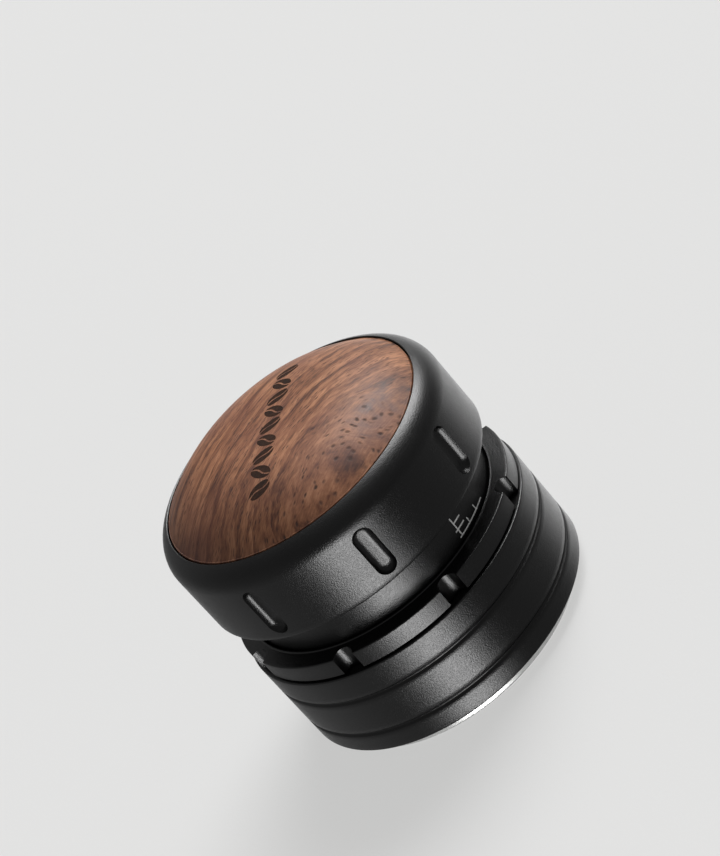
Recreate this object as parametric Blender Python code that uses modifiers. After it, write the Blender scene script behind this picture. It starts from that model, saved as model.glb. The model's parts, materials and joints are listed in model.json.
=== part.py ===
"""Palm espresso tamper with a sprung press handle, a self-levelling skirt and a depth ring.

Metres, +Z up. The origin is the centre of the tamper base's flat underside, and Z is the
axis that every turned piece shares. The finger recess nearest the front looks along -Y.

Bench order, bottom to top: the stainless base is screwed to the guide collar, a cup that
holds both springs. The skirt slides up the collar on a follower ring whose pins pass through
slots in the collar. The depth ring screws into the top of the skirt. The cap, with its
walnut dome, is bolted to a spindle that slides through the collar's floor.
"""
import math

import bmesh
import bpy
from mathutils import Matrix, Vector

MM = 0.001

# ---- driving dimensions -------------------------------------------------------------------
BASE_D = 58.35 * MM            # tamper base, for a 58 mm basket
BODY_D = 64.0 * MM             # skirt and cap
BASE_REVEAL = 2.8 * MM         # base standing out below the skirt
SKIRT_H = 20.1 * MM            # height of the skirt's outer wall
RING_H = 4.65 * MM             # depth ring above the skirt
RING_D = 63.0 * MM             # depth ring's fluted band
HANDLE_GAP = 8.0 * MM          # depth ring to cap, with nothing pressed
CAP_H = 17.6 * MM              # cap, bottom edge to the dome's seam
DOME_D = 57.06 * MM            # pocket in the cap that the dome drops into
DOME_RISE = 7.0 * MM           # dome above its seam
COLLAR_D = 55.0 * MM           # guide collar's outside

PRESS_STROKE = 2.2 * MM        # handle, down
SKIRT_STROKE = 4.0 * MM        # skirt, up

# ---- clearances ---------------------------------------------------------------------------
SEAT = 0.3 * MM                # between pieces that touch
SLIDE = 0.35 * MM              # between turned pieces that slide in each other
SKIRT_SLIDE = 0.42 * MM        # skirt's bore round the tamper base

# ---- tamper base and guide collar ---------------------------------------------------------
BASE_T = 9.5 * MM
BASE_EDGE = 0.5 * MM
BASE_CAVITY_D = 19.6 * MM
BASE_CAVITY_FLOOR = 2.5 * MM
COLLAR_WALL = 2.3 * MM
COLLAR_FLOOR_T = 3.2 * MM
COLLAR_TOP_IN_CAP = 5.1 * MM   # collar above the cap's bottom edge
SCREW_CIRCLE_D = 38.0 * MM
SCREW_COUNT = 4
SCREW_D = 3.5 * MM
SCREW_HEAD_D = 7.0 * MM
SCREW_HEAD_T = 2.0 * MM
SCREW_LENGTH = 6.0 * MM
SOCKET_WIDTH = 0.25            # hex socket's radius, as a share of the head's diameter
SOCKET_FLOOR = 0.4             # metal under the socket, as a share of the head's height

# ---- skirt, follower and depth ring -------------------------------------------------------
SHELF_BOTTOM = 10.0 * MM       # skirt's inner shelf, above the skirt's lower edge
GROOVE_HEIGHTS = (4.82 * MM, 13.85 * MM)
GROOVE_W = 1.2 * MM
GROOVE_DEPTH = 0.45 * MM
EDGE = 0.3 * MM                # broken edges
BUSH_T = 1.9 * MM
BUSH_SLEEVE_T = 0.5 * MM
BUSH_LENGTH = 1.0 * MM
PIN_COUNT = 3
PIN_D = 3.0 * MM
PIN_ABOVE_BUSH = 0.7 * MM      # skirt metal between the bush and the pins
PIN_BELOW_SPIGOT = 1.0 * MM
PIN_DEPTH_IN_SKIRT = 2.4 * MM
FOLLOWER_WIDTH = 5.1 * MM
FOLLOWER_T = 4.6 * MM
SPIGOT_WALL = 1.35 * MM
RING_LIP = 0.65 * MM           # inner lip above the ring's outer edge
RING_FLUTES = 8
RING_FLUTE_R = 2.25 * MM
RING_INDEX = math.radians(11.2)
O_RING_SECTION = 0.6 * MM

# ---- cap, dome and press mechanism --------------------------------------------------------
CAP_RIM_W = 5.94 * MM          # rounded rim, across and up
CAP_RIM_H = 5.52 * MM
CAP_RIM_CENTRE_BELOW_SEAM = 4.73 * MM
CAP_WEB_T = 4.5 * MM
CAP_HEADROOM = 1.3 * MM        # cap's web to collar, fully pressed
RECESS_COUNT = 8
RECESS_W = 4.25 * MM
RECESS_H = 11.4 * MM
RECESS_DEPTH = 1.35 * MM
RECESS_UP = 7.1 * MM           # recess centre above the cap's bottom edge
BAND_H = 4.5 * MM
BAND_T = 1.0 * MM
BAND_UP = 1.3 * MM
DOME_POWER = 3.5               # how flat the dome's middle is
SPINDLE_D = 10.0 * MM
SPINDLE_THREAD_D = 8.0 * MM
NUT_FLATS = 11.0 * MM
NUT_T = 3.0 * MM
WASHER_D = 16.4 * MM
WASHER_T = 1.2 * MM
SPINDLE_BUSH_D = 16.0 * MM
SPRING_SEAT_D = 26.4 * MM
SPRING_SEAT_T = 0.8 * MM
BUSH_FLANGE_T = 1.2 * MM
UPPER_SEAT_T = 1.2 * MM
STOP_TUBE_WALL = 2.4 * MM
RETAINER_T = 1.8 * MM
SNAP_RING_T = 1.0 * MM
SNAP_RING_W = 1.8 * MM
SNAP_RING_BITE = 0.4 * MM
SNAP_RING_MOUTH = 6.0 * MM     # gap between the ring's ends
PRESS_COIL_D = 21.0 * MM
PRESS_WIRE_D = 2.5 * MM
PRESS_TURNS = 6.5
LEVEL_WIRE_D = 1.2 * MM
LEVEL_TURNS = 5.0
DOME_SCREW_COUNT = 3
DOME_SCREW_CIRCLE_D = 36.0 * MM
DOME_SCREW_D = 2.6 * MM
DOME_SCREW_HEAD_D = 5.8 * MM
DOME_SCREW_HEAD_T = 1.2 * MM
DOME_SCREW_LENGTH = 8.0 * MM

# ---- facets -------------------------------------------------------------------------------
STEPS = 48                     # round the big turned pieces
FINE_STEPS = 24                # round the small ones
SCREW_STEPS = 12
HOLE_STEPS = 16
COIL_STEPS = 14                # each turn of a spring

# ---- sizes that follow --------------------------------------------------------------------
BODY_R = BODY_D / 2
BASE_R = BASE_D / 2
COLLAR_R = COLLAR_D / 2
COLLAR_IN_R = COLLAR_R - COLLAR_WALL
BORE_R = COLLAR_R + SLIDE
RING_R = RING_D / 2
DOME_R = DOME_D / 2

SKIRT_Z = BASE_REVEAL
SKIRT_TOP = SKIRT_Z + SKIRT_H
RING_Z = SKIRT_TOP + SLIDE
RING_TOP = SKIRT_TOP + SLIDE + RING_H
CAP_Z = RING_TOP + HANDLE_GAP
SEAM_Z = CAP_Z + CAP_H
COLLAR_Z = BASE_T + SEAT
COLLAR_FLOOR_TOP = COLLAR_Z + COLLAR_FLOOR_T
COLLAR_TOP = CAP_Z + COLLAR_TOP_IN_CAP
SHELF_Z = SKIRT_Z + SHELF_BOTTOM
PIN_Z = SHELF_Z + BUSH_LENGTH + PIN_ABOVE_BUSH + PIN_D / 2
SHELF_TOP = PIN_Z + PIN_D / 2 + PIN_BELOW_SPIGOT
FOLLOWER_R = COLLAR_IN_R - SEAT
FOLLOWER_Z = PIN_Z - FOLLOWER_T / 2
SPIGOT_R = BORE_R + SPIGOT_WALL
CAP_WEB_Z = COLLAR_TOP + PRESS_STROKE + CAP_HEADROOM
CAP_WEB_TOP = CAP_WEB_Z + CAP_WEB_T
SPINDLE_R = SPINDLE_D / 2
UPPER_SEAT_Z = CAP_WEB_Z - SEAT - UPPER_SEAT_T
LOWER_SEAT_Z = COLLAR_FLOOR_TOP + 2 * SEAT + BUSH_FLANGE_T
LOWER_SEAT_TOP = LOWER_SEAT_Z + SPRING_SEAT_T
SNAP_RING_Z = COLLAR_TOP - SNAP_RING_T - 2 * SEAT
RETAINER_Z = SNAP_RING_Z - SEAT - RETAINER_T

FRONT = -math.pi / 2

PARTS = "palm_tamper"
CUTTERS = "cutters"

# name: (colour, roughness, metallic)
MATERIALS = {
    "black_anodised": ((0.020, 0.020, 0.021, 1), 0.45, 0.9),
    "stainless": ((0.62, 0.62, 0.61, 1), 0.18, 1.0),
    "walnut": ((0.30, 0.15, 0.085, 1), 0.5, 0.0),
    "brass": ((0.66, 0.48, 0.20, 1), 0.3, 1.0),
    "acetal": ((0.78, 0.77, 0.72, 1), 0.5, 0.0),
    "spring_steel": ((0.40, 0.40, 0.41, 1), 0.3, 1.0),
    "zinc_steel": ((0.55, 0.56, 0.57, 1), 0.35, 1.0),
    "nitrile": ((0.015, 0.015, 0.015, 1), 0.7, 0.0),
}


# ---- scene helpers ------------------------------------------------------------------------
def clear_scene():
    for thing in list(bpy.data.objects):
        bpy.data.objects.remove(thing, do_unlink=True)


def collection(name):
    made = bpy.data.collections.new(name)
    bpy.context.scene.collection.children.link(made)
    return made


def material(name):
    if name in bpy.data.materials:
        return bpy.data.materials[name]
    colour, roughness, metallic = MATERIALS[name]
    made = bpy.data.materials.new(name)
    made.use_nodes = True
    shader = made.node_tree.nodes["Principled BSDF"]
    shader.inputs["Base Color"].default_value = colour
    shader.inputs["Roughness"].default_value = roughness
    shader.inputs["Metallic"].default_value = metallic
    return made


def empty(name, parent=None):
    """An axis on the tamper's centre line that a moving group hangs from."""
    made = bpy.data.objects.new(name, None)
    made.empty_display_size = 0.01
    bpy.data.collections[PARTS].objects.link(made)
    made.parent = parent
    return made


def add_part(name, data, finish, parent):
    made = bpy.data.objects.new(name, data)
    data.materials.append(material(finish))
    bpy.data.collections[PARTS].objects.link(made)
    made.parent = parent
    return made


def add_cutter(name, data):
    made = bpy.data.objects.new(name, data)
    bpy.data.collections[CUTTERS].objects.link(made)
    made.display_type = "WIRE"
    made.hide_render = True
    return made


def cut(part, cutter):
    """Take the cutter's shape out of the part."""
    step = part.modifiers.new(cutter.name, "BOOLEAN")
    step.operation = "DIFFERENCE"
    step.solver = "EXACT"
    step.object = cutter


def around(count, start=0.0):
    """Equally spaced angles about Z."""
    return [start + 2 * math.pi * index / count for index in range(count)]


def polar(radius, angle, z=0.0):
    return Vector((radius * math.cos(angle), radius * math.sin(angle), z))


# ---- shapes -------------------------------------------------------------------------------
def arc(centre, size, start, end, steps):
    """Points (radius, z) on an ellipse's arc, angles in degrees from the outward direction."""
    points = []
    for index in range(steps + 1):
        angle = math.radians(start + (end - start) * index / steps)
        points.append((centre[0] + size[0] * math.cos(angle), centre[1] + size[1] * math.sin(angle)))
    return points


def profile_mesh(name, points, closed):
    mesh = bpy.data.meshes.new(name)
    count = len(points)
    edges = [(index, index + 1) for index in range(count - 1)]
    if closed:
        edges.append((count - 1, 0))
    mesh.from_pydata([(radius, 0.0, z) for radius, z in points], edges, [])
    return mesh


def turned(thing, steps=STEPS):
    """Turn the object's profile about Z."""
    screw = thing.modifiers.new("turn", "SCREW")
    screw.axis = "Z"
    screw.angle = 2 * math.pi
    screw.steps = steps
    screw.render_steps = steps
    screw.use_merge_vertices = True
    screw.merge_threshold = 0.00001
    screw.use_smooth_shade = True
    return thing


def turned_part(name, points, finish, parent, steps=STEPS):
    """A turned piece: points (radius, z) run down the outside; a solid one ends on the axis."""
    closed = points[0][0] > 0.0
    mesh = profile_mesh(name, points, closed)
    return turned(add_part(name, mesh, finish, parent), steps)


def tube_part(name, inner, outer, low, high, finish, parent, steps=FINE_STEPS):
    """A plain ring with square edges."""
    points = [(outer, high), (outer, low), (inner, low), (inner, high)]
    return turned_part(name, points, finish, parent, steps)


def cylinder_mesh(name, radius, low, high, segments=FINE_STEPS):
    """A solid cylinder along Z between two heights."""
    mesh = bpy.data.meshes.new(name)
    bm = bmesh.new()
    place = Matrix.Translation((0, 0, (low + high) / 2))
    bmesh.ops.create_cone(bm, cap_ends=True, segments=segments, radius1=radius, radius2=radius,
                          depth=high - low, matrix=place)
    bm.to_mesh(mesh)
    bm.free()
    return mesh


def hull_mesh(name, build, places):
    """The hull of the same shape built at each place: two cylinders make a slot."""
    mesh = bpy.data.meshes.new(name)
    bm = bmesh.new()
    for place in places:
        build(bm, place)
    bmesh.ops.delete(bm, geom=bm.edges[:], context="EDGES_FACES")
    bmesh.ops.convex_hull(bm, input=bm.verts)
    loose = [vertex for vertex in bm.verts if not vertex.link_faces]
    bmesh.ops.delete(bm, geom=loose, context="VERTS")
    bmesh.ops.recalc_face_normals(bm, faces=bm.faces)
    bm.to_mesh(mesh)
    bm.free()
    return mesh


def smooth(part, angle=40):
    part.data.shade_smooth()
    part.data.set_sharp_from_angle(angle=math.radians(angle))


def coil(name, mean_d, wire_d, turns, low, high, points_per_turn, finish, parent):
    """A compression spring whose end turns lie almost flat."""
    curve = bpy.data.curves.new(name, "CURVE")
    curve.dimensions = "3D"
    curve.bevel_depth = wire_d / 2
    curve.bevel_resolution = 2
    curve.use_fill_caps = True
    count = round(turns * points_per_turn) + 1
    spline = curve.splines.new("POLY")
    spline.points.add(count - 1)
    end_pitch = 1.15 * wire_d
    middle = high - low - wire_d - 2 * end_pitch
    for index in range(count):
        turn = turns * index / (count - 1)
        z = low + wire_d / 2 + min(turn, 1.0) * end_pitch
        z += max(0.0, min(turn - 1.0, turns - 2.0)) / (turns - 2.0) * middle
        z += max(0.0, turn - turns + 1.0) * end_pitch
        spline.points[index].co = (*polar(mean_d / 2, 2 * math.pi * turn, z), 1.0)
    return add_part(name, curve, finish, parent)


def cap_screw(name, head_d, head_t, shank_d, length, at, flip, parent):
    """A socket screw on its own axis; flip points the shank up."""
    points = [(0.0, head_t), (head_d / 2, head_t), (head_d / 2, 0.0), (shank_d / 2, 0.0),
              (shank_d / 2, -length), (0.0, -length)]
    screw = turned_part(name, points, "zinc_steel", parent, SCREW_STEPS)
    screw.location = at
    screw.rotation_euler = (math.pi if flip else 0.0, 0.0, 0.0)
    socket_floor = head_t * SOCKET_FLOOR
    hexagon = cylinder_mesh(name, head_d * SOCKET_WIDTH, socket_floor, head_t + SEAT, 6)
    socket = add_cutter(name + "_socket", hexagon)
    socket.parent = screw
    cut(screw, socket)
    return screw


# ---- piston: base, collar and what is fixed to them -----------------------------------------
def make_tamper_base(piston):
    corner = arc((BASE_R - BASE_EDGE, BASE_EDGE), (BASE_EDGE, BASE_EDGE), 0, -90, 4)
    cavity = BASE_CAVITY_D / 2
    points = [(0.0, BASE_CAVITY_FLOOR), (cavity, BASE_CAVITY_FLOOR), (cavity, BASE_T),
              (BASE_R - EDGE, BASE_T), (BASE_R, BASE_T - EDGE)] + corner + [(0.0, 0.0)]
    base = turned_part("tamper_base", points, "stainless", piston)
    depth = COLLAR_FLOOR_TOP - SEAT / 2 - SCREW_HEAD_T - SCREW_LENGTH - SEAT
    for index, angle in enumerate(around(SCREW_COUNT, math.pi / 4)):
        mesh = cylinder_mesh("base_hole", SCREW_D / 2 + SEAT, depth, BASE_T + SEAT, HOLE_STEPS)
        hole = add_cutter("base_hole_%d" % (index + 1), mesh)
        hole.location = polar(SCREW_CIRCLE_D / 2, angle)
        cut(base, hole)


def pin_cutter(name, radius, inner, outer, angle):
    """A radial hole at the follower pins' height."""
    hole = add_cutter(name, cylinder_mesh(name, radius, inner, outer, HOLE_STEPS))
    hole.rotation_euler = (0.0, math.pi / 2, angle)
    hole.location = (0.0, 0.0, PIN_Z)
    return hole


def slot_cylinder(bm, place):
    slot_r = PIN_D / 2 + SEAT
    bmesh.ops.create_cone(bm, cap_ends=True, segments=HOLE_STEPS, radius1=slot_r, radius2=slot_r,
                          depth=COLLAR_WALL * 3, matrix=place)


def make_guide_collar(piston):
    bore = SPINDLE_BUSH_D / 2 + SEAT
    groove_low = SNAP_RING_Z - SEAT
    groove_high = SNAP_RING_Z + SNAP_RING_T + SEAT
    groove_r = COLLAR_IN_R + SNAP_RING_BITE + SEAT
    points = [(COLLAR_R - EDGE, COLLAR_TOP), (COLLAR_R, COLLAR_TOP - EDGE), (COLLAR_R, COLLAR_Z),
              (bore, COLLAR_Z), (bore, COLLAR_FLOOR_TOP), (COLLAR_IN_R, COLLAR_FLOOR_TOP),
              (COLLAR_IN_R, groove_low), (groove_r, groove_low), (groove_r, groove_high),
              (COLLAR_IN_R, groove_high), (COLLAR_IN_R, COLLAR_TOP)]
    collar = turned_part("guide_collar", points, "black_anodised", piston)
    radial = Matrix.Rotation(math.pi / 2, 4, "Y")
    wall = COLLAR_R - COLLAR_WALL / 2
    for index, angle in enumerate(around(PIN_COUNT, -FRONT)):
        places = [Matrix.Translation((wall, 0, z)) @ radial for z in (PIN_Z, PIN_Z + SKIRT_STROKE)]
        mesh = hull_mesh("collar_slot", slot_cylinder, places)
        slot = add_cutter("collar_slot_%d" % (index + 1), mesh)
        slot.rotation_euler = (0.0, 0.0, angle)
        cut(collar, slot)
    head_z = COLLAR_FLOOR_TOP - SEAT / 2 - SCREW_HEAD_T
    for index, angle in enumerate(around(SCREW_COUNT, math.pi / 4)):
        hole = cylinder_mesh("collar_hole", SCREW_D / 2 + SEAT, COLLAR_Z - SEAT,
                             COLLAR_FLOOR_TOP, HOLE_STEPS)
        seat = cylinder_mesh("collar_seat", SCREW_HEAD_D / 2 + SEAT, head_z - SEAT,
                             COLLAR_FLOOR_TOP + SEAT, HOLE_STEPS)
        for label, mesh in (("hole", hole), ("seat", seat)):
            cutter = add_cutter("collar_%s_%d" % (label, index + 1), mesh)
            cutter.location = polar(SCREW_CIRCLE_D / 2, angle)
            cut(collar, cutter)


def make_base_screws(piston):
    for index, angle in enumerate(around(SCREW_COUNT, math.pi / 4)):
        at = polar(SCREW_CIRCLE_D / 2, angle, COLLAR_FLOOR_TOP - SEAT / 2 - SCREW_HEAD_T)
        cap_screw("base_screw_%d" % (index + 1), SCREW_HEAD_D, SCREW_HEAD_T, SCREW_D, SCREW_LENGTH,
                  at, False, piston)


def make_spring_seats(piston):
    bush_r = SPINDLE_BUSH_D / 2
    bore = SPINDLE_R + SEAT
    flange_z = COLLAR_FLOOR_TOP + SEAT
    seat_r = SPRING_SEAT_D / 2
    points = [(seat_r, flange_z + BUSH_FLANGE_T), (seat_r, flange_z), (bush_r, flange_z),
              (bush_r, COLLAR_Z), (bore, COLLAR_Z), (bore, flange_z + BUSH_FLANGE_T)]
    turned_part("spindle_bush", points, "brass", piston, FINE_STEPS)
    tube_part("lower_spring_seat", bore + SEAT, seat_r, LOWER_SEAT_Z, LOWER_SEAT_TOP,
              "zinc_steel", piston)
    stop_top = UPPER_SEAT_Z - PRESS_STROKE - SEAT / 3
    tube_part("stroke_stop_tube", bore, bore + STOP_TUBE_WALL, LOWER_SEAT_TOP + SEAT, stop_top,
              "zinc_steel", piston)


def make_retainer(piston):
    outer = COLLAR_IN_R - SEAT
    tube_part("spring_retainer", outer - FOLLOWER_WIDTH, outer, RETAINER_Z, RETAINER_Z + RETAINER_T,
              "zinc_steel", piston, STEPS)
    outer = COLLAR_IN_R + SNAP_RING_BITE
    ring = tube_part("snap_ring", outer - SNAP_RING_W, outer, SNAP_RING_Z, SNAP_RING_Z + SNAP_RING_T,
                     "spring_steel", piston, STEPS)
    mouth = bpy.data.meshes.new("snap_ring_mouth")
    bm = bmesh.new()
    bmesh.ops.create_cube(bm, size=1.0)
    bmesh.ops.scale(bm, vec=(SNAP_RING_W * 3, SNAP_RING_MOUTH, SNAP_RING_T * 3), verts=bm.verts)
    bm.to_mesh(mouth)
    bm.free()
    gap = add_cutter("snap_ring_mouth", mouth)
    gap.location = (outer, 0.0, SNAP_RING_Z + SNAP_RING_T / 2)
    cut(ring, gap)


def make_springs(piston):
    coil("pressure_spring", PRESS_COIL_D, PRESS_WIRE_D, PRESS_TURNS, LOWER_SEAT_TOP + SEAT,
         UPPER_SEAT_Z - SEAT, COIL_STEPS, "spring_steel", piston)
    mean_d = 2 * FOLLOWER_R - FOLLOWER_WIDTH
    coil("levelling_spring", mean_d, LEVEL_WIRE_D, LEVEL_TURNS, FOLLOWER_Z + FOLLOWER_T + SEAT,
         RETAINER_Z - SEAT, COIL_STEPS, "spring_steel", piston)


# ---- skirt and depth ring -------------------------------------------------------------------
def groove(z):
    """A shallow V groove, run down the skirt's outside."""
    return [(BODY_R, z + GROOVE_W / 2), (BODY_R - GROOVE_DEPTH, z + GROOVE_W / 6),
            (BODY_R - GROOVE_DEPTH, z - GROOVE_W / 6), (BODY_R, z - GROOVE_W / 2)]


def make_skirt(skirt):
    lower_bore = BASE_R + SKIRT_SLIDE
    counterbore = SPIGOT_R + SLIDE
    bush_bore = BORE_R + BUSH_SLEEVE_T + SEAT
    bush_top = SHELF_Z + BUSH_LENGTH + SEAT
    points = [(BODY_R - EDGE, SKIRT_TOP), (BODY_R, SKIRT_TOP - EDGE)]
    for height in reversed(GROOVE_HEIGHTS):
        points += groove(SKIRT_Z + height)
    points += [(BODY_R, SKIRT_Z + EDGE), (BODY_R - EDGE, SKIRT_Z), (lower_bore, SKIRT_Z),
               (lower_bore, SHELF_Z), (bush_bore, SHELF_Z), (bush_bore, bush_top),
               (BORE_R, bush_top), (BORE_R, SHELF_TOP), (counterbore, SHELF_TOP),
               (counterbore, SKIRT_TOP)]
    part = turned_part("levelling_skirt", points, "black_anodised", skirt)
    reach = BORE_R + PIN_DEPTH_IN_SKIRT + SEAT
    for index, angle in enumerate(around(PIN_COUNT, -FRONT)):
        name = "skirt_pin_hole_%d" % (index + 1)
        cut(part, pin_cutter(name, PIN_D / 2 + SEAT, COLLAR_R, reach, angle))
    flange_r = lower_bore - SEAT
    sleeve_r = BORE_R + BUSH_SLEEVE_T
    points = [(sleeve_r, SHELF_Z + BUSH_LENGTH), (sleeve_r, SHELF_Z - SEAT), (flange_r, SHELF_Z - SEAT),
              (flange_r, SHELF_Z - SEAT - BUSH_T), (BORE_R, SHELF_Z - SEAT - BUSH_T),
              (BORE_R, SHELF_Z + BUSH_LENGTH)]
    turned_part("skirt_bush", points, "acetal", skirt)


def make_follower(skirt):
    inner = FOLLOWER_R - FOLLOWER_WIDTH
    ring = tube_part("follower_ring", inner, FOLLOWER_R, FOLLOWER_Z, FOLLOWER_Z + FOLLOWER_T,
                     "brass", skirt, STEPS)
    pin_start = inner + PIN_D / 3
    pin_end = BORE_R + PIN_DEPTH_IN_SKIRT
    for index, angle in enumerate(around(PIN_COUNT, -FRONT)):
        name = "follower_pin_%d" % (index + 1)
        hole = pin_cutter(name + "_hole", PIN_D / 2 + SEAT, inner - SEAT, FOLLOWER_R + SEAT, angle)
        cut(ring, hole)
        mesh = cylinder_mesh(name, PIN_D / 2, pin_start, pin_end, HOLE_STEPS)
        pin = add_part(name, mesh, "stainless", skirt)
        pin.rotation_euler = (0.0, math.pi / 2, angle)
        pin.location = (0.0, 0.0, PIN_Z)
        smooth(pin)


def make_depth_ring(ring_lift, ring_turn):
    top_edge = RING_TOP - RING_LIP
    spigot_low = SHELF_TOP + SEAT
    seal_z = (spigot_low + SKIRT_TOP) / 2
    seal_r = SPIGOT_R - O_RING_SECTION / 2
    floor_r = SPIGOT_R - O_RING_SECTION - SEAT
    seal_half = O_RING_SECTION / 2 + SEAT
    points = [(BORE_R, RING_TOP - EDGE), (BORE_R + EDGE, RING_TOP),
              (BORE_R + EDGE * 2, RING_TOP - EDGE / 2),
              (RING_R - EDGE, top_edge - EDGE * 0.2), (RING_R, top_edge - EDGE * 1.2),
              (RING_R, RING_Z), (SPIGOT_R, RING_Z), (SPIGOT_R, seal_z + seal_half),
              (floor_r, seal_z + seal_half), (floor_r, seal_z - seal_half),
              (SPIGOT_R, seal_z - seal_half), (SPIGOT_R, spigot_low), (BORE_R, spigot_low)]
    ring = turned_part("depth_ring", points, "black_anodised", ring_turn)
    for index, angle in enumerate(around(RING_FLUTES, FRONT + RING_INDEX)):
        mesh = cylinder_mesh("flute", RING_FLUTE_R, RING_Z - SEAT / 2, RING_TOP + SEAT, FINE_STEPS)
        flute = add_cutter("flute_%d" % (index + 1), mesh)
        flute.location = polar(RING_R, angle)
        flute.parent = ring_turn
        cut(ring, flute)
    bpy.ops.mesh.primitive_torus_add(major_segments=STEPS, minor_segments=6, major_radius=seal_r,
                                     minor_radius=O_RING_SECTION / 2, location=(0, 0, seal_z))
    torus = bpy.context.object.data
    bpy.data.objects.remove(bpy.context.object, do_unlink=True)
    seal = add_part("ring_friction_seal", torus, "nitrile", ring_lift)
    seal.location = (0.0, 0.0, seal_z)
    smooth(seal)


# ---- handle -----------------------------------------------------------------------------------
def recess_sphere(bm, place):
    depth_to_axis = (RECESS_W ** 2 / 4 - RECESS_DEPTH ** 2) / (2 * RECESS_DEPTH)
    bmesh.ops.create_uvsphere(bm, u_segments=HOLE_STEPS, v_segments=HOLE_STEPS // 2,
                              radius=depth_to_axis + RECESS_DEPTH, matrix=place)


def cut_recesses(cap):
    depth_to_axis = (RECESS_W ** 2 / 4 - RECESS_DEPTH ** 2) / (2 * RECESS_DEPTH)
    half = (RECESS_H - RECESS_W) / 2
    middle = CAP_Z + RECESS_UP
    places = [Matrix.Translation((0, 0, z)) for z in (middle - half, middle + half)]
    mesh = hull_mesh("recess", recess_sphere, places)
    for index, angle in enumerate(around(RECESS_COUNT, FRONT)):
        recess = add_cutter("recess_%d" % (index + 1), mesh)
        recess.location = polar(BODY_R + depth_to_axis, angle)
        cut(cap, recess)


def make_cap(handle):
    rim_centre = (BODY_R - CAP_RIM_W, SEAM_Z - CAP_RIM_CENTRE_BELOW_SEAM)
    rim_cosine = (DOME_R - rim_centre[0]) / CAP_RIM_W
    rim_start = math.degrees(math.acos(rim_cosine))
    rim = arc(rim_centre, (CAP_RIM_W, CAP_RIM_H), rim_start, 0, 8)
    band_r = BORE_R + BAND_T + SEAT
    band_low = CAP_Z + BAND_UP - SEAT
    band_high = CAP_Z + BAND_UP + BAND_H + SEAT
    points = [(0.0, CAP_WEB_TOP), (DOME_R, CAP_WEB_TOP)] + rim
    points += [(BODY_R, CAP_Z + EDGE), (BODY_R - EDGE, CAP_Z), (BORE_R, CAP_Z), (BORE_R, band_low),
               (band_r, band_low), (band_r, band_high), (BORE_R, band_high), (BORE_R, CAP_WEB_Z),
               (0.0, CAP_WEB_Z)]
    cap = turned_part("cap_shell", points, "black_anodised", handle)
    thread = cylinder_mesh("spindle_thread_hole", SPINDLE_THREAD_D / 2 + SEAT, CAP_WEB_Z - SEAT,
                           CAP_WEB_TOP + SEAT, HOLE_STEPS)
    cut(cap, add_cutter("spindle_thread_hole", thread))
    head_top = CAP_WEB_Z + SEAT + DOME_SCREW_HEAD_T + SEAT
    for index, angle in enumerate(around(DOME_SCREW_COUNT, -FRONT)):
        hole = cylinder_mesh("dome_screw_hole", DOME_SCREW_D / 2 + SEAT, head_top - SEAT,
                             CAP_WEB_TOP + SEAT, HOLE_STEPS)
        seat = cylinder_mesh("dome_screw_seat", DOME_SCREW_HEAD_D / 2 + SEAT, CAP_WEB_Z - SEAT,
                             head_top, HOLE_STEPS)
        for label, mesh in (("hole", hole), ("seat", seat)):
            cutter = add_cutter("dome_screw_%s_%d" % (label, index + 1), mesh)
            cutter.location = polar(DOME_SCREW_CIRCLE_D / 2, angle)
            cut(cap, cutter)
    cut_recesses(cap)
    band_z = CAP_Z + BAND_UP
    tube_part("cap_guide_band", BORE_R - SLIDE / 4, band_r - SEAT, band_z, band_z + BAND_H,
              "acetal", handle, STEPS)


def make_dome(handle):
    edge_r = DOME_R - SEAT
    low = CAP_WEB_TOP + SEAT
    points = [(0.0, SEAM_Z + DOME_RISE)]
    for share in (0.2, 0.4, 0.55, 0.68, 0.78, 0.86, 0.92, 0.965, 1.0):
        rise = DOME_RISE * (1 - share ** DOME_POWER)
        points.append((share * edge_r, SEAM_Z + rise))
    points += [(edge_r, low), (0.0, low)]
    dome = turned_part("walnut_dome", points, "walnut", handle)
    head_z = CAP_WEB_Z + SEAT + DOME_SCREW_HEAD_T
    tip = head_z + DOME_SCREW_LENGTH + SEAT
    for index, angle in enumerate(around(DOME_SCREW_COUNT, -FRONT)):
        pilot = add_cutter("pilot_%d" % (index + 1),
                           cylinder_mesh("pilot", DOME_SCREW_D / 2 + SEAT, low - SEAT, tip, HOLE_STEPS))
        pilot.location = polar(DOME_SCREW_CIRCLE_D / 2, angle)
        cut(dome, pilot)
        at = polar(DOME_SCREW_CIRCLE_D / 2, angle, head_z)
        cap_screw("dome_screw_%d" % (index + 1), DOME_SCREW_HEAD_D, DOME_SCREW_HEAD_T, DOME_SCREW_D,
                  DOME_SCREW_LENGTH, at, True, handle)


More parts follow.
